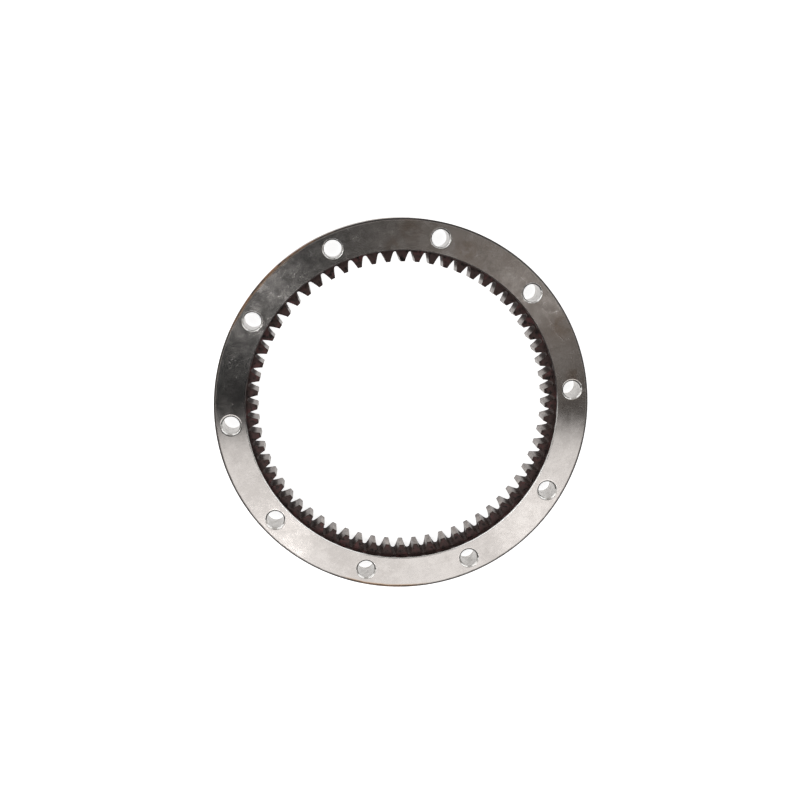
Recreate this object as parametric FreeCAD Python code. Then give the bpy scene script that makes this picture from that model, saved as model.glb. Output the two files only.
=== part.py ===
import FreeCAD, Part
import math
import os

# Internal ring gear: a flat machined steel ring with spur teeth round its bore.
# Millimetres, +Z up. The ring lies on its back face, z = 0, with its axis on Z.
# The +X axis runs through the middle of one tooth and of one bolt hole.

# Teeth, standard full-depth involute form
tooth_module = 4.0
tooth_count = 64
pressure_angle = math.radians(20.0)
addendum_factor = 1.0
root_clearance_factor = 0.15

# Ring
ring_thickness = 30.0
rim_width = 26.8
edge_chamfer = 1.0

# Counterbore in the front face, which leaves the tooth ends below that face
recess_depth = 6.0
recess_margin = 1.1
recess_chamfer = 0.7
tooth_end_chamfer = 0.5

# Bolt holes through the rim
bolt_hole_count = 10
bolt_hole_diameter = 15.0
bolt_edge_distance = 13.5
bolt_hole_chamfer = 1.2

# How far a cutter runs past the face that it opens
overcut = 1.0

pitch_radius = tooth_module * tooth_count / 2
base_radius = pitch_radius * math.cos(pressure_angle)
tip_radius = pitch_radius - tooth_module * addendum_factor
root_radius = pitch_radius + tooth_module * (addendum_factor + root_clearance_factor)
recess_radius = root_radius + recess_margin
outer_radius = recess_radius + rim_width
bolt_circle_radius = outer_radius - bolt_edge_distance
recess_floor = ring_thickness - recess_depth


def involute(angle):
    """The involute function, tan(angle) less the angle itself."""
    return math.tan(angle) - angle


def space_half_angle(radius):
    """Half of the angle that one tooth space takes up at this radius."""
    at_pitch_circle = math.pi / (2 * tooth_count)
    local_pressure_angle = math.acos(base_radius / radius)
    return at_pitch_circle + involute(pressure_angle) - involute(local_pressure_angle)


def flank_point(radius, side):
    """Point of the involute flank, for a tooth space that is centred on +X."""
    angle = side * space_half_angle(radius)
    return FreeCAD.Vector(radius * math.cos(angle), radius * math.sin(angle), 0)


def root_circle_reach(radius):
    """Outermost reach of the round root that leaves the flank at this radius.

    The centre of the root arc is where the flank's normal, which is tangent to
    the base circle, crosses the middle line of the tooth space.
    """
    half_angle = space_half_angle(radius)
    local_pressure_angle = math.acos(base_radius / radius)
    start = flank_point(radius, 1)
    tangent_angle = half_angle - local_pressure_angle
    tangent_x = base_radius * math.cos(tangent_angle)
    tangent_y = base_radius * math.sin(tangent_angle)
    share = start.y / (start.y - tangent_y)
    centre_x = start.x + share * (tangent_x - start.x)
    arc_radius = share * radius * math.sin(local_pressure_angle)
    return centre_x + arc_radius


def flank_end_radius():
    """Radius where each flank runs into the full round root, by halving."""
    low = pitch_radius
    high = root_radius
    for _ in range(50):
        middle = (low + high) / 2
        if root_circle_reach(middle) < root_radius:
            low = middle
        else:
            high = middle
    return (low + high) / 2


def ring_blank():
    """The turned ring: outer chamfers, front counterbore and chamfered bore."""
    profile = [
        (tip_radius + tooth_end_chamfer, 0),
        (outer_radius - edge_chamfer, 0),
        (outer_radius, edge_chamfer),
        (outer_radius, ring_thickness - edge_chamfer),
        (outer_radius - edge_chamfer, ring_thickness),
        (recess_radius + recess_chamfer, ring_thickness),
        (recess_radius, ring_thickness - recess_chamfer),
        (recess_radius, recess_floor),
        (tip_radius + tooth_end_chamfer, recess_floor),
        (tip_radius, recess_floor - tooth_end_chamfer),
        (tip_radius, tooth_end_chamfer),
    ]
    corners = [FreeCAD.Vector(x, 0, z) for x, z in profile]
    section = Part.Face(Part.makePolygon(corners + corners[:1]))
    return section.revolve(FreeCAD.Vector(0, 0, 0), FreeCAD.Vector(0, 0, 1), 360)


def tooth_space():
    """Cutter for one tooth space: two involute flanks and a full round root."""
    inner_radius = max(tip_radius - overcut, base_radius)
    outer_end = flank_end_radius()
    flank_steps = 6
    radii = []
    for step in range(flank_steps + 1):
        radii.append(inner_radius + (outer_end - inner_radius) * step / flank_steps)
    left = [flank_point(radius, 1) for radius in radii]
    right = [flank_point(radius, -1) for radius in radii]
    left_flank = Part.BSplineCurve()
    left_flank.interpolate(left)
    right_flank = Part.BSplineCurve()
    right_flank.interpolate(right)
    root_middle = FreeCAD.Vector(root_radius, 0, 0)
    root_arc = Part.Arc(right[-1], root_middle, left[-1])
    edges = [
        Part.makeLine(left[0], right[0]),
        right_flank.toShape(),
        root_arc.toShape(),
        left_flank.toShape(),
    ]
    outline = Part.Wire(Part.__sortEdges__(edges))
    outline.translate(FreeCAD.Vector(0, 0, -overcut))
    return Part.Face(outline).extrude(FreeCAD.Vector(0, 0, ring_thickness + 2 * overcut))


def bolt_hole():
    """Cutter for one bolt hole, chamfered at both faces, on the +X axis."""
    bore = bolt_hole_diameter / 2
    mouth = bore + bolt_hole_chamfer + overcut
    profile = [
        (0, -overcut),
        (mouth, -overcut),
        (bore, bolt_hole_chamfer),
        (bore, ring_thickness - bolt_hole_chamfer),
        (mouth, ring_thickness + overcut),
        (0, ring_thickness + overcut),
    ]
    corners = [FreeCAD.Vector(x, 0, z) for x, z in profile]
    section = Part.Face(Part.makePolygon(corners + corners[:1]))
    cutter = section.revolve(FreeCAD.Vector(0, 0, 0), FreeCAD.Vector(0, 0, 1), 360)
    cutter.translate(FreeCAD.Vector(bolt_circle_radius, 0, 0))
    return cutter


def around_axis(cutter, count, first_angle):
    """Copies of a cutter, evenly spaced about Z, from first_angle in degrees."""
    copies = []
    for index in range(count):
        turned = cutter.copy()
        angle = first_angle + 360.0 * index / count
        turned.rotate(FreeCAD.Vector(0, 0, 0), FreeCAD.Vector(0, 0, 1), angle)
        copies.append(turned)
    return copies


def ring_gear():
    """The whole gear, with a tooth and a bolt hole in line on +X."""
    half_pitch = 180.0 / tooth_count
    cutters = around_axis(tooth_space(), tooth_count, half_pitch)
    cutters += around_axis(bolt_hole(), bolt_hole_count, 0.0)
    gear = ring_blank().cut(cutters)
    if gear.ShapeType == "Compound" and len(gear.Solids) == 1:
        gear = gear.Solids[0]
    return gear


os.makedirs("parts", exist_ok=True)
ring_gear().exportStep("parts/ring_gear.step")
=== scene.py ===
import math
import bmesh
import bpy
import numpy as np
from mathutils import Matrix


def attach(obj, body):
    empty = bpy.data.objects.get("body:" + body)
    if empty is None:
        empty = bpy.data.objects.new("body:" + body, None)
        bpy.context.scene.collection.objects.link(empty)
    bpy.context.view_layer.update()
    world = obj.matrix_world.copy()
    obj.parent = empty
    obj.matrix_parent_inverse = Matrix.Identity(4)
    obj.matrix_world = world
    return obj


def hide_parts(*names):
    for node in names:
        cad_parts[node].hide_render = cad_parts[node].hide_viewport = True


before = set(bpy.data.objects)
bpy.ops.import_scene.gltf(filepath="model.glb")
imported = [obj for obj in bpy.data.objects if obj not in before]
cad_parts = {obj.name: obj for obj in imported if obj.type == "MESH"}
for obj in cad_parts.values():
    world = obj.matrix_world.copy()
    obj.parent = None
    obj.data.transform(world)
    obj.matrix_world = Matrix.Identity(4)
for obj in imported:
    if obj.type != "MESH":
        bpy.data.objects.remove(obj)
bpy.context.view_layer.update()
print("frame loaded:", sorted(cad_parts))

# Metres everywhere. The ring lies on its back face, z = 0, with its axis on Z and a tooth
# and a bolt hole on +X. The picture is 800 x 800, and its upright is turned a little from +Y.
pictureTurn = math.radians(-5.745)


class Wire:
    # One output socket of a node tree, so that shader maths reads like plain Python.
    def __init__(self, tree, socket=None):
        self.tree = tree
        self.socket = socket

    def node(self, kind, settings=None, inputs=None, output=0):
        made = self.tree.nodes.new(kind)
        for key, value in (settings or {}).items():
            if key == "stops":
                self.setStops(made.color_ramp, value)
            else:
                setattr(made, key, value)
        for key, value in (inputs or {}).items():
            if isinstance(value, Wire):
                self.tree.links.new(value.socket, made.inputs[key])
            elif value is not None:
                made.inputs[key].default_value = value
        return Wire(self.tree, made.outputs[output] if len(made.outputs) else None)

    def setStops(self, ramp, stops):
        while len(ramp.elements) < len(stops):
            ramp.elements.new(0.5)
        for element, (place, shade) in zip(ramp.elements, stops):
            element.position = place
            element.color = (*shade, 1) if isinstance(shade, tuple) else (shade, shade, shade, 1)

    def math(self, operation, other=None, third=None, clamp=False):
        settings = {"operation": operation, "use_clamp": clamp}
        return self.node("ShaderNodeMath", settings, {0: self, 1: other, 2: third})

    def __add__(self, other):
        return self.math("ADD", other)

    def __radd__(self, other):
        return self.math("ADD", other)

    def __sub__(self, other):
        return self.math("SUBTRACT", other)

    def __rsub__(self, other):
        return self.node("ShaderNodeMath", {"operation": "SUBTRACT"}, {0: other, 1: self})

    def __mul__(self, other):
        return self.math("MULTIPLY", other)

    def __rmul__(self, other):
        return self.math("MULTIPLY", other)

    def __pow__(self, other):
        return self.math("POWER", other)

    def clamp(self):
        return self.math("ADD", 0.0, clamp=True)

    def abs(self):
        return self.math("ABSOLUTE")

    def most(self, other):
        return self.math("MAXIMUM", other)

    def ramp(self, low, high):
        # 0 below low, 1 above high, smooth between; low may be the larger one
        settings = {"interpolation_type": "SMOOTHSTEP"}
        if low < high:
            return self.node("ShaderNodeMapRange", settings, {0: self, 1: low, 2: high, 3: 0.0, 4: 1.0})
        return self.node("ShaderNodeMapRange", settings, {0: self, 1: high, 2: low, 3: 1.0, 4: 0.0})

    def blend(self, first, second):
        # colours: first where this wire is 0, second where it is 1
        pair = {0: self, 6: asColour(first), 7: asColour(second)}
        return self.node("ShaderNodeMix", {"data_type": "RGBA"}, pair, 2)

    def scaled(self, x, y, z):
        return self.node("ShaderNodeVectorMath", {"operation": "MULTIPLY"}, {0: self, 1: (x, y, z)})

    def part(self, axis):
        return self.node("ShaderNodeSeparateXYZ", None, {0: self}, axis)

    def noise(self, scale, detail, roughness=0.5):
        given = {"Vector": self, "Scale": scale, "Detail": detail, "Roughness": roughness}
        return self.node("ShaderNodeTexNoise", None, given)


def asColour(value):
    return (*value, 1.0) if isinstance(value, tuple) else value


def startMaterial(name):
    material = bpy.data.materials.new(name)
    material.use_nodes = True
    material.node_tree.nodes.clear()
    return material, Wire(material.node_tree)


def steelShader(tools, look, colour, rough, height=None, metal=1.0):
    # one Principled shader; only varying values come in as wires
    given = {"Base Color": colour, "Roughness": rough, "Metallic": metal}
    given["Anisotropic"] = look.get("grain", 0.0)
    given["Anisotropic Rotation"] = look.get("grainTurn", 0.0)
    given["Specular IOR Level"] = look.get("shine", 0.5)
    if height is not None:
        bumpGiven = {"Strength": look["bump"], "Distance": look["bumpDepth"], "Height": height}
        given["Normal"] = tools.node("ShaderNodeBump", None, bumpGiven)
    shader = tools.node("ShaderNodeBsdfPrincipled", None, given)
    tools.node("ShaderNodeOutputMaterial", None, {"Surface": shader})


# Camera: taken from the photograph, as a place and a turn in the frame of the CAD
cameraLook = {
    "place": (-0.05113, 0.18354, 1.02061),
    "turn": (-9.794, -3.808, -5.419),
    "lens": 53.02,
    "sensor": 36.0,
}


def makeCamera(look):
    data = bpy.data.cameras.new("camera")
    data.lens = look["lens"]
    data.sensor_width = look["sensor"]
    data.clip_start = 0.01
    data.clip_end = 50
    camera = bpy.data.objects.new("camera", data)
    camera.location = look["place"]
    camera.rotation_euler = [math.radians(angle) for angle in look["turn"]]
    bpy.context.collection.objects.link(camera)
    bpy.context.scene.camera = camera


makeCamera(cameraLook)
print("camera placed")


# The gear: its shape, as in the CAD, with small roundings on its edges
ringShape = {
    "teeth": 64,
    "module": 0.004,
    "pressureAngle": 20.0,
    "toothTip": 0.124,
    "toothRoot": 0.1326,
    "recess": 0.1337,
    "outer": 0.1605,
    "thickness": 0.030,
    "recessFloor": 0.024,
    "edgeChamfer": 0.001,
    "recessChamfer": 0.0007,
    "toothChamfer": 0.0005,
    "holes": 10,
    "holeCircle": 0.147,
    "holeRadius": 0.0075,
    "holeChamfer": 0.0012,
    "edgeRound": 0.00015,
    "edgeSteps": 2,
    "toothRound": 0.0002,
    "toothBand": 0.004,
    "flatBand": 0.001,
    "rimBand": 0.0006,
}

# Which material each face takes: its place in the ring's list of materials
finishes = {"face": 0, "rim": 1, "hole": 2, "teeth": 3, "ends": 4, "chamfer": 5}


def toothOutline(s):
    # One pitch of the bore, from the middle of a tooth: angle and radius of 20 points.
    # Half of a space at radius r spans 90 deg / teeth + inv(a) - inv(acos(base / r)),
    # inv(x) = tan x - x. The root is the arc that leaves both flanks smoothly and touches
    # the root circle; its centre is where a flank's normal crosses the middle of the space.
    slope = math.radians(s["pressureAngle"])
    pitchRadius = s["module"] * s["teeth"] / 2
    base = pitchRadius * math.cos(slope)

    def spaceHalf(radius):
        local = np.arccos(base / radius)
        return math.pi / (2 * s["teeth"]) + math.tan(slope) - slope - np.tan(local) + local

    def rootCircle(radius):
        half = spaceHalf(radius)
        local = np.arccos(base / radius)
        startX = radius * np.cos(half)
        startY = radius * np.sin(half)
        tangentX = base * np.cos(half - local)
        tangentY = base * np.sin(half - local)
        share = startY / (startY - tangentY)
        return startX + share * (tangentX - startX), share * radius * np.sin(local)

    tries = np.linspace(pitchRadius, s["toothRoot"] - 1e-5, 4000)
    centres, arcs = rootCircle(tries)
    flankEnd = np.interp(s["toothRoot"], centres + arcs, tries)
    centre, arc = rootCircle(flankEnd)
    halfPitch = math.pi / s["teeth"]

    # the tooth's corner is rounded from before it on the tip to past it on the flank
    corner = halfPitch - spaceHalf(s["toothTip"])
    before = corner - s["toothRound"] / s["toothTip"]
    past = s["toothTip"] + s["toothRound"] * 1.2
    pastAngle = halfPitch - spaceHalf(past)
    roundAngle = 0.25 * before + 0.5 * corner + 0.25 * pastAngle
    roundRadius = 0.75 * s["toothTip"] + 0.25 * past
    flank = past + (flankEnd - past) * np.array([0.33, 0.68, 1.0])
    endHalf = spaceHalf(flankEnd)
    startTurn = np.arctan2(flankEnd * np.sin(endHalf), flankEnd * np.cos(endHalf) - centre)
    turn = startTurn * np.array([0.75, 0.5, 0.25, 0.0])
    rootX = centre + arc * np.cos(turn)
    rootY = arc * np.sin(turn)
    tipAngles = [0.0, before, roundAngle, pastAngle]
    tipRadii = [s["toothTip"], s["toothTip"], roundRadius, past]
    rootAngles = halfPitch - np.arctan2(rootY, rootX)
    angles = np.concatenate([tipAngles, halfPitch - spaceHalf(flank), rootAngles])
    radii = np.concatenate([tipRadii, flank, np.hypot(rootX, rootY)])
    angles = np.concatenate([angles, 2 * halfPitch - angles[-2:0:-1]])
    radii = np.concatenate([radii, radii[-2:0:-1]])
    return angles, radii


def unit(vectors):
    return vectors / np.linalg.norm(vectors, axis=-1, keepdims=True)


def roundedProfile(corners, size, steps):
    # A line through (radius, z) corners, each inner corner replaced by an arc tangent to both
    # sides: its centre is on the corner's middle line, size / sin(half the corner) away.
    corners = np.array(corners, float)
    here = corners[1:-1]
    back = unit(corners[:-2] - here)
    onward = unit(corners[2:] - here)
    half = np.arccos(np.sum(back * onward, axis=1, keepdims=True)) / 2
    centre = here + unit(back + onward) * size / np.sin(half)
    first = here + back * size / np.tan(half) - centre
    last = here + onward * size / np.tan(half) - centre
    share = np.linspace(0, 1, steps + 1)[None, :, None]
    arcs = centre[:, None] + unit(first[:, None] * (1 - share) + last[:, None] * share) * size
    return np.concatenate([corners[:1], arcs.reshape(-1, 2), corners[-1:]])


def turned(profile, angles):
    # rows of points: each (radius, z) of the profile swept round the axis
    radius = profile[:, 0][:, None]
    z = np.broadcast_to(profile[:, 1][:, None], (len(profile), len(angles)))
    return np.stack([radius * np.cos(angles), radius * np.sin(angles), z], axis=-1)


def stripFaces(rows, columns, flip):
    # quads between neighbouring rows; the last column joins the first
    row = np.arange(rows - 1)[:, None] * columns
    here = np.arange(columns)[None, :]
    after = (here + 1) % columns
    ring = [row + here, row + columns + here, row + columns + after, row + after]
    if flip:
        ring = ring[::-1]
    return np.stack(ring, axis=-1).reshape(-1, 4)


def boreRows(s, angles, radii):
    # The teeth, from the back face's circle to the front counterbore's floor. Each row is the
    # tooth outline moved into the steel by an inset, and pushed out to the end chamfer's cone:
    # radius = max(outline moved by inset, tip + chamfer - depth below the tooth's end).
    outline = np.stack([radii * np.cos(angles), radii * np.sin(angles)], axis=-1)
    along = unit(np.roll(outline, -1, axis=0) - np.roll(outline, 1, axis=0))
    intoSteel = np.stack([along[:, 1], -along[:, 0]], axis=-1)
    size = s["edgeRound"]
    swing = np.radians([0, 45, 90])
    insets = np.concatenate([size * (1 - np.sin(swing)), [0, 0]])
    depths = np.concatenate([size * (1 - np.cos(swing)), [s["toothChamfer"], s["toothBand"]]])
    moved = outline[None] + intoSteel[None] * insets[:, None, None]
    angle = np.arctan2(moved[..., 1], moved[..., 0])
    cone = s["toothTip"] + s["toothChamfer"] - depths
    least = np.maximum(cone, s["toothTip"])[:, None]
    radius = np.maximum(np.hypot(moved[..., 0], moved[..., 1]), least)
    flat = np.stack([radius * np.cos(angle), radius * np.sin(angle)], axis=-1)
    height = np.broadcast_to(depths[:, None, None], (*flat.shape[:2], 1))
    back = np.concatenate([flat, height], axis=-1)
    front = back[::-1] * [1, 1, -1] + [0, 0, s["recessFloor"]]
    return back, front


def between(first, last, shares):
    # rows of points between two rows, at these shares of the way
    share = np.array(shares)[:, None, None]
    return first[None] * (1 - share) + last[None] * share


def holeStrip(s, angles, frontRims, backRims, index):
    # One bolt hole with its sector of the front and back faces. The sector's outline is two
    # arcs and two straight sides; each of its points goes to the point of the hole's circle
    # that lies in the same direction, evened out a little.
    count = s["holes"]
    middle = 2 * math.pi * index / count
    first = np.argmin(np.abs(angles - (middle - math.pi / count)))
    last = np.argmin(np.abs(angles - (middle + math.pi / count)))
    arc = angles[first:last + 1]
    side = np.linspace(0, 1, 11)[1:-1]

    def outline(rims, z):
        inner, outer = rims
        sideRadius = outer + (inner - outer) * side
        alongOuter = np.full(len(arc), outer)
        alongInner = np.full(len(arc), inner)
        radius = np.concatenate([alongOuter, sideRadius, alongInner, sideRadius[::-1]])
        ends = [np.full(len(side), arc[-1]), np.full(len(side), arc[0])]
        angle = np.concatenate([arc, ends[0], arc[::-1], ends[1]])
        height = np.full(len(angle), z)
        return np.stack([radius * np.cos(angle), radius * np.sin(angle), height], axis=-1)

    frontEdge = outline(frontRims, s["thickness"])
    backEdge = outline(backRims, 0.0)
    centre = np.array([s["holeCircle"] * math.cos(middle), s["holeCircle"] * math.sin(middle)])
    seen = np.unwrap(np.arctan2(frontEdge[:, 1] - centre[1], frontEdge[:, 0] - centre[0]))
    even = seen[0] + 2 * math.pi * np.arange(len(seen)) / len(seen)
    even = even + np.mean(seen - even)
    turn = seen * 0.7 + even * 0.3
    mouth = s["holeRadius"] + s["holeChamfer"]
    corners = [
        (mouth + s["flatBand"], s["thickness"]),
        (mouth, s["thickness"]),
        (s["holeRadius"], s["thickness"] - s["holeChamfer"]),
        (s["holeRadius"], s["holeChamfer"]),
        (mouth, 0),
        (mouth + s["flatBand"], 0),
    ]
    wall = turned(roundedProfile(corners, s["edgeRound"], s["edgeSteps"]), turn) + [*centre, 0]
    front = between(frontEdge, wall[0], [0, 0.35, 0.7])
    back = between(wall[-1], backEdge, [0.3, 0.65, 1])
    rows = np.concatenate([front, wall, back])
    faceStrips = len(front) + 1
    cutStrips = faceStrips + 2 * s["edgeSteps"] + 1  # with the chamfer and its two roundings
    kinds = np.full(len(rows) - 1, finishes["chamfer"])
    kinds[cutStrips:-cutStrips] = finishes["hole"]
    kinds[:faceStrips] = finishes["face"]
    kinds[-faceStrips:] = finishes["face"]
    return rows, kinds


def makeRing(s):
    # All of the ring's points, faces and finishes: the bore with its teeth and counterbore, the
    # outside, and a strip of face for each bolt hole, whose rims meet the other two.
    pitchAngles, pitchRadii = toothOutline(s)
    pitches = 2 * math.pi * np.arange(s["teeth"])[:, None] / s["teeth"]
    angles = (pitches + pitchAngles).ravel()
    radii = np.tile(pitchRadii, s["teeth"])

    z = s["thickness"]
    recess = s["recess"]
    chamfer = s["recessChamfer"]
    innerRim = recess + chamfer + s["rimBand"]
    wallCorners = [
        (recess - s["flatBand"], s["recessFloor"]),
        (recess, s["recessFloor"]),
        (recess, z - chamfer),
        (recess + chamfer, z),
        (innerRim, z),
    ]
    outer = s["outer"]
    edge = s["edgeChamfer"]
    outerRim = outer - edge - s["rimBand"]
    outerCorners = [
        (outerRim, z),
        (outer - edge, z),
        (outer, z - edge),
        (outer, edge),
        (outer - edge, 0),
        (outerRim, 0),
    ]
    backTeeth, frontTeeth = boreRows(s, angles, radii)
    wall = turned(roundedProfile(wallCorners, s["edgeRound"], s["edgeSteps"]), angles)
    backCircle = turned(np.array([[recess, 0.0]]), angles)[0]
    backEnds = between(backCircle, backTeeth[0], [0, 0.6])
    frontEnds = between(frontTeeth[-1], wall[0], [0.5])
    inner = np.concatenate([backEnds, backTeeth, frontTeeth, frontEnds, wall])
    teethEnd = len(backEnds) + len(backTeeth) + len(frontTeeth) - 1
    chamferStrips = 2 * s["edgeSteps"] + 1
    innerKinds = np.full(len(inner) - 1, finishes["ends"])
    innerKinds[len(backEnds):teethEnd] = finishes["teeth"]
    innerKinds[-1 - chamferStrips:-1] = finishes["chamfer"]
    innerKinds[-1] = finishes["face"]
    outside = turned(roundedProfile(outerCorners, s["edgeRound"], s["edgeSteps"]), angles)
    outsideKinds = np.full(len(outside) - 1, finishes["rim"])
    outsideKinds[[0, -1]] = finishes["face"]

    strips = [(inner, innerKinds, False), (outside, outsideKinds, False)]
    frontRims = (innerRim, outerRim)
    backRims = (recess, outerRim)
    wrapped = np.concatenate([angles - 2 * math.pi, angles, angles + 2 * math.pi])
    for index in range(s["holes"]):
        rows, kinds = holeStrip(s, wrapped, frontRims, backRims, index)
        strips.append((rows, kinds, True))

    points = []
    faces = []
    kinds = []
    total = 0
    for rows, rowKinds, flip in strips:
        points.append(rows.reshape(-1, 3))
        faces.append(stripFaces(rows.shape[0], rows.shape[1], flip) + total)
        kinds.append(np.repeat(rowKinds, rows.shape[1]))
        total += rows.shape[0] * rows.shape[1]
    return np.concatenate(points), np.concatenate(faces), np.concatenate(kinds)


def meshObject(name, points, faces, materials, kinds):
    mesh = bpy.data.meshes.new(name)
    mesh.from_pydata(points, [], faces.tolist())
    for material in materials:
        mesh.materials.append(material)
    mesh.polygons.foreach_set("material_index", kinds.astype(np.int32))
    work = bmesh.new()
    work.from_mesh(mesh)
    bmesh.ops.remove_doubles(work, verts=work.verts, dist=2e-6)
    loose = sum(1 for edge in work.edges if not edge.is_manifold)
    work.to_mesh(mesh)
    work.free()
    mesh.shade_smooth()
    made = bpy.data.objects.new(name, mesh)
    bpy.context.collection.objects.link(made)
    print(name, len(mesh.vertices), "points", len(mesh.polygons), "faces", loose, "open edges")
    return made


def objectPlace(tools):
    # the piece's own coordinates
    return tools.node("ShaderNodeTexCoord", None, None, 3)


def fromAxis(place, centre=(0.0, 0.0)):
    # distance from an upright axis through the centre
    x = place.part(0) - centre[0]
    y = place.part(1) - centre[1]
    return (x * x + y * y) ** 0.5


def turningLines(tools, place, across, fine, drift):
    # noise that changes fast along one measure and slowly round the ring
    parts = {0: across * fine, 1: place.part(0) * drift, 2: place.part(1) * drift}
    return tools.node("ShaderNodeCombineXYZ", None, parts).noise(1.0, 2.0)


def scratches(tools, place, kinds):
    # noise stretched along one direction, of which only the highest crests are kept
    marks = 0.0
    for angle, length, width, rarity in kinds:
        turn = (0, 0, math.radians(angle))
        given = {"Vector": place, "Rotation": turn, "Scale": (length, width, 0.05)}
        streaks = tools.node("ShaderNodeMapping", {"vector_type": "TEXTURE"}, given).noise(1.0, 1.0)
        marks = streaks.ramp(rarity, rarity + 0.03).most(marks)
    return marks


def spots(place, kinds, ragged):
    # sum of spots: 1 at each centre, 0 beyond its reach, with an edge made ragged by noise
    total = 0.0
    for x, y, z, reach in kinds:
        given = {0: place, 1: (x, y, z)}
        offset = place.node("ShaderNodeVectorMath", {"operation": "DISTANCE"}, given, 1)
        total = (offset + (ragged - 0.5) * reach * 1.6).ramp(reach, reach * 0.25) + total
    return total


# In the looks, a noise is its scale per metre, detail and roughness, turning lines are their
# counts across and along, a spot is its centre and reach, and a band is where it starts and ends.
faceLook = {
    "light": (0.83, 0.781, 0.745),
    "dull": (0.655, 0.611, 0.580),
    # dark outer edge: oxide, with painted shade that widens the chamfer's dark reflection
    "edgeOxideAndShade": (0.045, 0.030, 0.024),
    # painted orange reflection near the outer edge
    "orangeReflectionColour": (0.70, 0.43, 0.24),
    "stain": (0.48, 0.36, 0.27),
    "roughness": 0.13,
    "grain": 1.0,
    "grainTurn": 0.25,
    "bump": 0.25,
    "bumpDepth": 0.000004,
    "lines": (2600, 18),
    "bands": (420, 9),
    "clouds": (24, 4, 0.55),
    "mottle": (150, 4, 0.6),
    "ragged": (90, 4, 0.65),
    "fine": (680, 3, 0.65),
    "specks": (950, 4, 0.7),
    "scratches": [(20, 0.02, 0.0003, 0.74), (128, 0.014, 0.00025, 0.75), (75, 0.03, 0.0003, 0.76)],
    "edgeWander": 0.0012,
    # the outer edge's bands, then the two spots of painted orange reflection
    "orangeReflectionBand": (0.1574, 0.1586),
    "edgeOxideAndShadeBand": (0.1583, 0.1592),
    "orangeReflection": [(-0.028, -0.158, 0.03, 0.05), (-0.112, 0.113, 0.03, 0.06)],
    "stains": [
        (0.020, 0.150, 0.03, 0.015),
        (0.004, 0.139, 0.03, 0.010),
        (0.066, 0.128, 0.03, 0.014),
        (0.141, 0.055, 0.03, 0.018),
        (0.150, 0.012, 0.03, 0.012),
    ],
    "rubbed": [
        (-0.143, 0.054, 0.03, 0.014),
        (-0.112, 0.0785, 0.03, 0.015),
        (-0.078, 0.121, 0.03, 0.016),
    ],
}


def makeFaceSteel(look):
    material, tools = startMaterial("groundFace")
    place = objectPlace(tools)
    radius = fromAxis(place)
    lines = turningLines(tools, place, radius, *look["lines"])
    bands = turningLines(tools, place, radius, *look["bands"])
    clouds = place.noise(*look["clouds"])
    mottle = place.noise(*look["mottle"])
    ragged = place.noise(*look["ragged"])
    fine = place.noise(*look["fine"])

    # rubbed and scratched places are rougher and a little lower
    rubbed = spots(place, look["rubbed"], ragged)
    specks = place.noise(*look["specks"]).ramp(0.56, 0.70)
    specks = specks * (rubbed * 0.5 + fine.ramp(0.50, 0.62) * 0.25)
    marks = scratches(tools, place, look["scratches"]) * mottle.ramp(0.45, 0.6)
    worn = (specks + marks * 0.7).clamp()

    # the steel's tone, then a painted orange reflection near the outer edge, the dark outer edge (oxide
    # with painted shade) and the stains
    tone = clouds * 0.36 + mottle * 0.34 + fine * 0.22 + bands * 0.08
    colour = tone.ramp(0.38, 0.62).blend(look["dull"], look["light"])
    outward = radius + (mottle - 0.5) * look["edgeWander"]
    # painted orange reflection in two places on the face's outer edge
    orangeReflection = spots(place, look["orangeReflection"], clouds).clamp() * outward.ramp(*look["orangeReflectionBand"])
    colour = (orangeReflection * 0.8).blend(colour, look["orangeReflectionColour"])
    # dark outer edge, wandering with the mottle: oxide with painted shade, rougher and less metallic
    # there
    edgeOxideAndShadeMask = (outward + orangeReflection * 0.0003).ramp(*look["edgeOxideAndShadeBand"])
    colour = (edgeOxideAndShadeMask * 0.85).blend(colour, look["edgeOxideAndShade"])
    stained = spots(place, look["stains"], ragged)
    colour = (stained * ragged.ramp(0.38, 0.6) * 0.6).clamp().blend(colour, look["stain"])
    haze = (clouds * 0.4 + ragged * 0.6).ramp(0.44, 0.70)
    rough = (mottle - 0.5) * 0.07 + haze * 0.045 + worn * 0.22 + edgeOxideAndShadeMask * 0.1 + look["roughness"]
    height = lines * 0.5 + bands + worn * -0.8
    steelShader(tools, look, colour, rough, height, 1.0 - edgeOxideAndShadeMask * 0.6)
    return material


chamferLook = {
    "light": (0.96, 0.95, 0.93),
    "dull": (0.84, 0.82, 0.79),
    # painted dark reflection on the far half of the counterbore's chamfer, and the band where it begins
    "paintedDarkReflection": (0.03, 0.022, 0.019),
    "roughness": 0.17,
    "mottle": (260, 3, 0.6),
    "paintedDarkBand": (-0.035, 0.010),
    "recessBand": (0.1360, 0.1352),
}


def makeChamferSteel(look):
    material, tools = startMaterial("cutChamfer")
    place = objectPlace(tools)
    mottle = place.noise(*look["mottle"])
    colour = mottle.ramp(0.35, 0.65).blend(look["dull"], look["light"])
    # painted dark reflection: the far half of the counterbore's chamfer is painted near black, rougher
    # and less metallic
    paintedDarkReflection = (place.part(1) + (mottle - 0.5) * 0.03).ramp(*look["paintedDarkBand"])
    paintedDarkReflection = paintedDarkReflection * fromAxis(place).ramp(*look["recessBand"])
    colour = paintedDarkReflection.blend(colour, look["paintedDarkReflection"])
    rough = (mottle - 0.5) * 0.15 + paintedDarkReflection * 0.25 + look["roughness"]
    steelShader(tools, look, colour, rough, None, 1.0 - paintedDarkReflection * 0.8)
    return material


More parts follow.
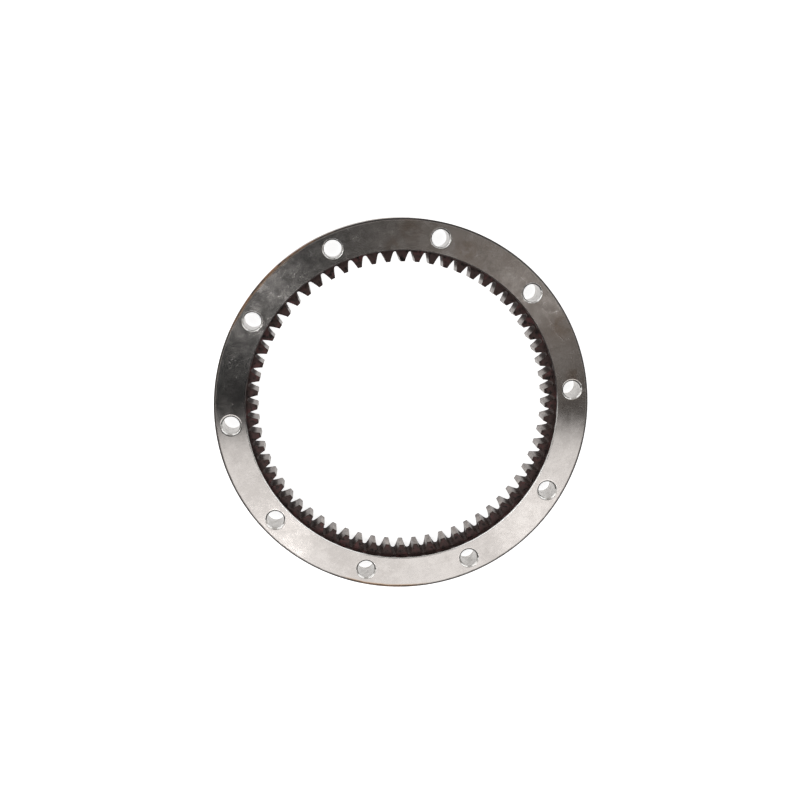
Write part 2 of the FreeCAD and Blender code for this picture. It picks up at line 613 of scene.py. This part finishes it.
holeLook = {
    "light": (0.56, 0.54, 0.52),
    "dull": (0.34, 0.32, 0.30),
    "dirtAndShade": (0.16, 0.13, 0.11),
    "roughness": 0.26,
    "bump": 0.4,
    "bumpDepth": 0.00001,
    "lines": (1800, 60),
    "mottle": (220, 4, 0.6),
    "grit": (420, 3, 0.6),
    # painted shade towards the far end of the hole
    "farShadeBand": (0.0032, 0.0008),
}


def makeHoleSteel(look):
    material, tools = startMaterial("drilledHole")
    place = objectPlace(tools)
    z = place.part(2)
    lines = turningLines(tools, place, z, *look["lines"])
    mottle = place.noise(*look["mottle"])
    colour = (mottle * 0.7 + lines * 0.3).ramp(0.35, 0.62).blend(look["dull"], look["light"])
    # painted shade: darker towards the far end of the hole; the random dark grit is dirt
    far = (z + (mottle - 0.5) * 0.003).ramp(*look["farShadeBand"])
    dirtAndShade = (place.noise(*look["grit"]).ramp(0.60, 0.72) * 0.7).most(far * 0.6)
    colour = dirtAndShade.blend(colour, look["dirtAndShade"])
    rough = (lines - 0.5) * 0.12 + (mottle - 0.5) * 0.12 + look["roughness"]
    steelShader(tools, look, colour, rough, lines)
    return material


rimLook = {
    "steel": (0.34, 0.315, 0.295),
    "brown": (0.21, 0.155, 0.120),
    # painted dark reflection on both ends of the outer wall, with its chamfers
    "edge": (0.016, 0.011, 0.009),
    # painted orange reflection on those ends, in two places
    "rimOrangeReflection": (0.34, 0.17, 0.085),
    "rimOrangeReflectionSpots": [(-0.022, -0.158, 0.03, 0.045), (-0.101, 0.124, 0.03, 0.08)],
    "shine": 0.3,
    "roughness": 0.34,
    "bump": 0.4,
    "bumpDepth": 0.00001,
    "lines": (1500, 14),
    "clouds": (30, 4, 0.6),
    "mottle": (190, 4, 0.65),
    "middle": 0.015,
    "edgeWander": 0.0012,
    "edgeReflectionBand": (0.0126, 0.0137),
}


def makeRimSteel(look):
    material, tools = startMaterial("turnedRim")
    place = objectPlace(tools)
    z = place.part(2)
    lines = turningLines(tools, place, z, *look["lines"])
    clouds = place.noise(*look["clouds"])
    mottle = place.noise(*look["mottle"])
    brown = (clouds * 0.6 + mottle * 0.25 + lines * 0.3).ramp(0.44, 0.74)
    colour = brown.blend(look["steel"], look["brown"])
    # both ends of the outer wall and its chamfers are painted near black, rougher and less metallic: a
    # painted dark reflection
    edge = (z - look["middle"]).abs() + (mottle - 0.5) * look["edgeWander"]
    edge = edge.ramp(*look["edgeReflectionBand"])
    # painted orange reflection in two spots on the dark ends
    rimOrangeReflection = (spots(place, look["rimOrangeReflectionSpots"], clouds) * mottle.ramp(0.40, 0.58)).clamp()
    colour = edge.blend(colour, (rimOrangeReflection * 0.7).blend(look["edge"], look["rimOrangeReflection"]))
    rough = brown * 0.14 + (lines - 0.5) * 0.14 + edge * 0.12 + look["roughness"]
    metal = 1.0 - brown * 0.2 - edge * 0.85
    steelShader(tools, look, colour, rough, lines + mottle * 0.4, metal.clamp())
    return material


toothLook = {
    "light": (0.265, 0.230, 0.208),
    "dull": (0.085, 0.066, 0.056),
    "flank": (0.19, 0.155, 0.137),
    # dark root colour: oil and dirt, partly painted shade of the tooth spaces
    "root": (0.038, 0.019, 0.016),
    "shine": 0.2,
    "roughness": 0.34,
    "bump": 0.5,
    "bumpDepth": 0.00002,
    "mottle": (420, 4, 0.65),
    "clouds": (70, 3, 0.6),
    "feed": (900, 2, 0.5),
    "grit": (650, 3, 0.7),
    "flankBand": (0.1241, 0.1275),
    # roots darkened: oil and dirt with painted shade
    "rootDirtAndShadeBand": (0.1268, 0.1298),
    "frontBand": (0.0222, 0.0236),
    "backBand": (0.0035, 0.0006),
}


def makeToothSteel(look):
    material, tools = startMaterial("cutTeeth")
    place = objectPlace(tools)
    radius = fromAxis(place)
    z = place.part(2)
    mottle = place.noise(*look["mottle"])
    clouds = place.noise(*look["clouds"])
    feed = place.scaled(1, 1, 0.12).noise(*look["feed"])  # marks that run along the teeth
    colour = (mottle * 0.6 + clouds * 0.4).ramp(0.40, 0.62).blend(look["dull"], look["light"])
    flank = (radius + (mottle - 0.5) * 0.004).ramp(*look["flankBand"])
    colour = (flank * 0.75).blend(colour, look["flank"])
    # darker in the roots (oil and dirt, partly painted shade of the spaces), towards both ends of the
    # teeth and in random specks
    rootDirtAndShade = (radius + (mottle - 0.5) * 0.005).ramp(*look["rootDirtAndShadeBand"])
    height = z + (mottle - 0.5) * 0.003
    end = height.ramp(*look["frontBand"])
    behind = height.ramp(*look["backBand"])
    speckle = place.noise(*look["grit"]).ramp(0.58, 0.66)
    dirtAndShade = (rootDirtAndShade * 0.9).most(end * 0.9).most(behind * 0.7).most(speckle * 0.75)
    colour = dirtAndShade.blend(colour, look["root"])
    rough = (mottle - 0.5) * 0.2 + dirtAndShade * 0.4 + look["roughness"]
    steelShader(tools, look, colour, rough, feed + mottle * 0.6, 1.0 - dirtAndShade * 0.95)
    return material


endLook = {
    "brown": (0.055, 0.035, 0.032),
    "red": (0.108, 0.044, 0.043),
    # near black for random patches and for the painted shadow at the top of the counterbore's wall
    "blackPatchesAndShadow": (0.010, 0.008, 0.0075),
    "shine": 0.3,
    "roughness": 0.42,
    "bump": 0.5,
    "bumpDepth": 0.00004,
    "mottle": (300, 4, 0.65),
    "clouds": (60, 3, 0.6),
    # painted shadow at the top of the counterbore's wall
    "mouthShadowBand": (0.0275, 0.0290),
}


def makeEndSteel(look):
    material, tools = startMaterial("darkEnds")
    place = objectPlace(tools)
    mottle = place.noise(*look["mottle"])
    clouds = place.noise(*look["clouds"])
    colour = (clouds * 0.5 + mottle * 0.5).ramp(0.5, 0.66).blend(look["brown"], look["red"])
    # painted shadow: the top of the counterbore's wall, just under the face, goes near black, as do
    # random patches
    mouth = (place.part(2) + (mottle - 0.5) * 0.002).ramp(*look["mouthShadowBand"])
    blackPatchesAndShadow = mottle.ramp(0.47, 0.36).most(mouth)
    colour = blackPatchesAndShadow.blend(colour, look["blackPatchesAndShadow"])
    rough = (mottle - 0.5) * 0.25 + look["roughness"]
    steelShader(tools, look, colour, rough, mottle, 0.5)
    return material


# in the order of the finishes
ringMaterials = [
    makeFaceSteel(faceLook),
    makeRimSteel(rimLook),
    makeHoleSteel(holeLook),
    makeToothSteel(toothLook),
    makeEndSteel(endLook),
    makeChamferSteel(chamferLook),
]
print("materials made")
points, faces, kinds = makeRing(ringShape)
ring = meshObject("ringGear", points, faces, ringMaterials, kinds)
weighted = ring.modifiers.new("flatFaces", "WEIGHTED_NORMAL")
weighted.keep_sharp = True
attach(ring, "root")
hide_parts("ring_gear")
print("ring built")


# Studio: white floor and surroundings, one dark overhead panel with a white front edge, grey
# screens as (azimuth, half width, low, high, shade) and soft lamps as (azimuth, power, size)
studioLook = {
    "floorSize": 6.0,
    "floorColour": (0.8, 0.8, 0.8),
    "floorGlow": 0.86,
    "ambient": 0.6,
    "panelHeight": 1.28,
    "panelSize": 1.6,
    "panelEdge": (-0.251, -0.306),
    "panelCool": (0.037, 0.0395, 0.041),
    "panelDeep": (0.016, 0.017, 0.018),
    "panelWarm": (0.216, 0.195, 0.179),
    "warmCentre": (0.30, 0.003),
    "warmReach": (0.42, 0.05),
    "deepBand": (-0.24, -0.10),
    "screens": [
        (0, 0.3, 0.0, 1.28, 0.45),
        (90, 0.5, 0.13, 1.28, 0.42),
        (180, 0.3, 0.0, 1.28, 0.50),
        (222, 0.52, 0.0, 0.45, 0.015),
        (270, 0.6, 0.0, 0.55, 0.015),
        (318, 0.52, 0.0, 0.45, 0.015),
    ],
    "screenDistance": 1.3,
    "lamps": [(27, 1.4, 0.30), (150, 4.0, 0.46), (240, 1.15, 0.24), (311, 0.3, 0.26)],
    "lampReach": 0.75,
    "lampHeight": 0.95,
}


def seenDirectly(tools):
    # 1 for rays that show the white studio: from the camera, from metal and from glass
    path = tools.tree.nodes.new("ShaderNodeLightPath")
    camera = Wire(tools.tree, path.outputs["Is Camera Ray"])
    glossy = Wire(tools.tree, path.outputs["Is Glossy Ray"])
    clear = Wire(tools.tree, path.outputs["Is Transmission Ray"])
    return camera.most(glossy).most(clear)


def makeWorld(look):
    world = bpy.data.worlds.new("studio")
    bpy.context.scene.world = world
    world.use_nodes = True
    world.node_tree.nodes.clear()
    tools = Wire(world.node_tree)
    shown = seenDirectly(tools)
    strength = shown * (1.0 - look["ambient"]) + look["ambient"]
    back = tools.node("ShaderNodeBackground", None, {"Color": (1, 1, 1, 1), "Strength": strength})
    tools.node("ShaderNodeOutputWorld", None, {"Surface": back})


def flatPlane(name, size, z, material):
    corners = np.array([[-1, -1, 0], [1, -1, 0], [1, 1, 0], [-1, 1, 0]]) * size + [0, 0, z]
    mesh = bpy.data.meshes.new(name)
    mesh.from_pydata(corners.tolist(), [], [[0, 1, 2, 3]])
    mesh.materials.append(material)
    plane = bpy.data.objects.new(name, mesh)
    bpy.context.collection.objects.link(plane)
    return plane


def makeFloor(look):
    material, tools = startMaterial("paleFloor")
    shown = seenDirectly(tools)
    paper = tools.node("ShaderNodeBsdfDiffuse", None, {"Color": asColour(look["floorColour"])})
    glow = tools.node("ShaderNodeEmission", None, {"Strength": shown * look["floorGlow"]})
    both = tools.node("ShaderNodeAddShader", None, {0: paper, 1: glow})
    tools.node("ShaderNodeOutputMaterial", None, {"Surface": both})
    flatPlane("floor", look["floorSize"], -0.0003, material)


def makePanel(look):
    material, tools = startMaterial("overheadPanel")
    place = objectPlace(tools)
    y = place.part(1)
    start, end = look["panelEdge"]
    bright = ((start - y) * (1 / (start - end))).clamp()
    warm = fromAxis(place, look["warmCentre"]).ramp(*look["warmReach"])
    cool = y.ramp(*look["deepBand"]).blend(look["panelDeep"], look["panelCool"])
    shade = bright.blend(warm.blend(cool, look["panelWarm"]), (1.0, 1.0, 1.0))
    glow = tools.node("ShaderNodeEmission", None, {"Color": shade})
    tools.node("ShaderNodeOutputMaterial", None, {"Surface": glow})
    panel = flatPlane("overheadPanel", look["panelSize"], 0.0, material)
    panel.location = (0, 0, look["panelHeight"])
    panel.rotation_euler = (0, 0, pictureTurn)


def makeScreens(look):
    # grey screens round the ring, out of the picture, for the steel to reflect
    for index, (azimuth, half, low, high, shade) in enumerate(look["screens"]):
        name = "greyScreen%d" % index
        material, tools = startMaterial(name)
        warmGrey = (shade, shade * 0.97, shade * 0.94, 1)
        glow = tools.node("ShaderNodeEmission", None, {"Color": warmGrey})
        tools.node("ShaderNodeOutputMaterial", None, {"Surface": glow})
        corners = [[-half, 0, low], [half, 0, low], [half, 0, high], [-half, 0, high]]
        mesh = bpy.data.meshes.new(name)
        mesh.from_pydata(corners, [], [[0, 1, 2, 3]])
        mesh.materials.append(material)
        screen = bpy.data.objects.new(name, mesh)
        bpy.context.collection.objects.link(screen)
        turn = math.radians(azimuth) + pictureTurn
        away = look["screenDistance"]
        screen.location = (away * math.cos(turn), away * math.sin(turn), 0)
        screen.rotation_euler = (0, 0, turn - math.pi / 2)
        screen.visible_camera = False
        screen.visible_shadow = False


def makeLamps(look):
    # each lamp leans in towards the middle of the ring
    away = look["lampReach"]
    height = look["lampHeight"]
    for azimuth, power, size in look["lamps"]:
        data = bpy.data.lights.new("softLamp%d" % azimuth, "AREA")
        data.energy = power
        data.size = size
        lamp = bpy.data.objects.new("softLamp%d" % azimuth, data)
        turn = math.radians(azimuth) + pictureTurn
        lamp.location = (away * math.cos(turn), away * math.sin(turn), height)
        lamp.rotation_euler = (0, math.atan2(away, height), turn)
        lamp.visible_camera = False
        bpy.context.collection.objects.link(lamp)


makeScreens(studioLook)
makeLamps(studioLook)
makeWorld(studioLook)
makeFloor(studioLook)
makePanel(studioLook)
bpy.context.scene.view_settings.view_transform = "Standard"
print("studio lit")
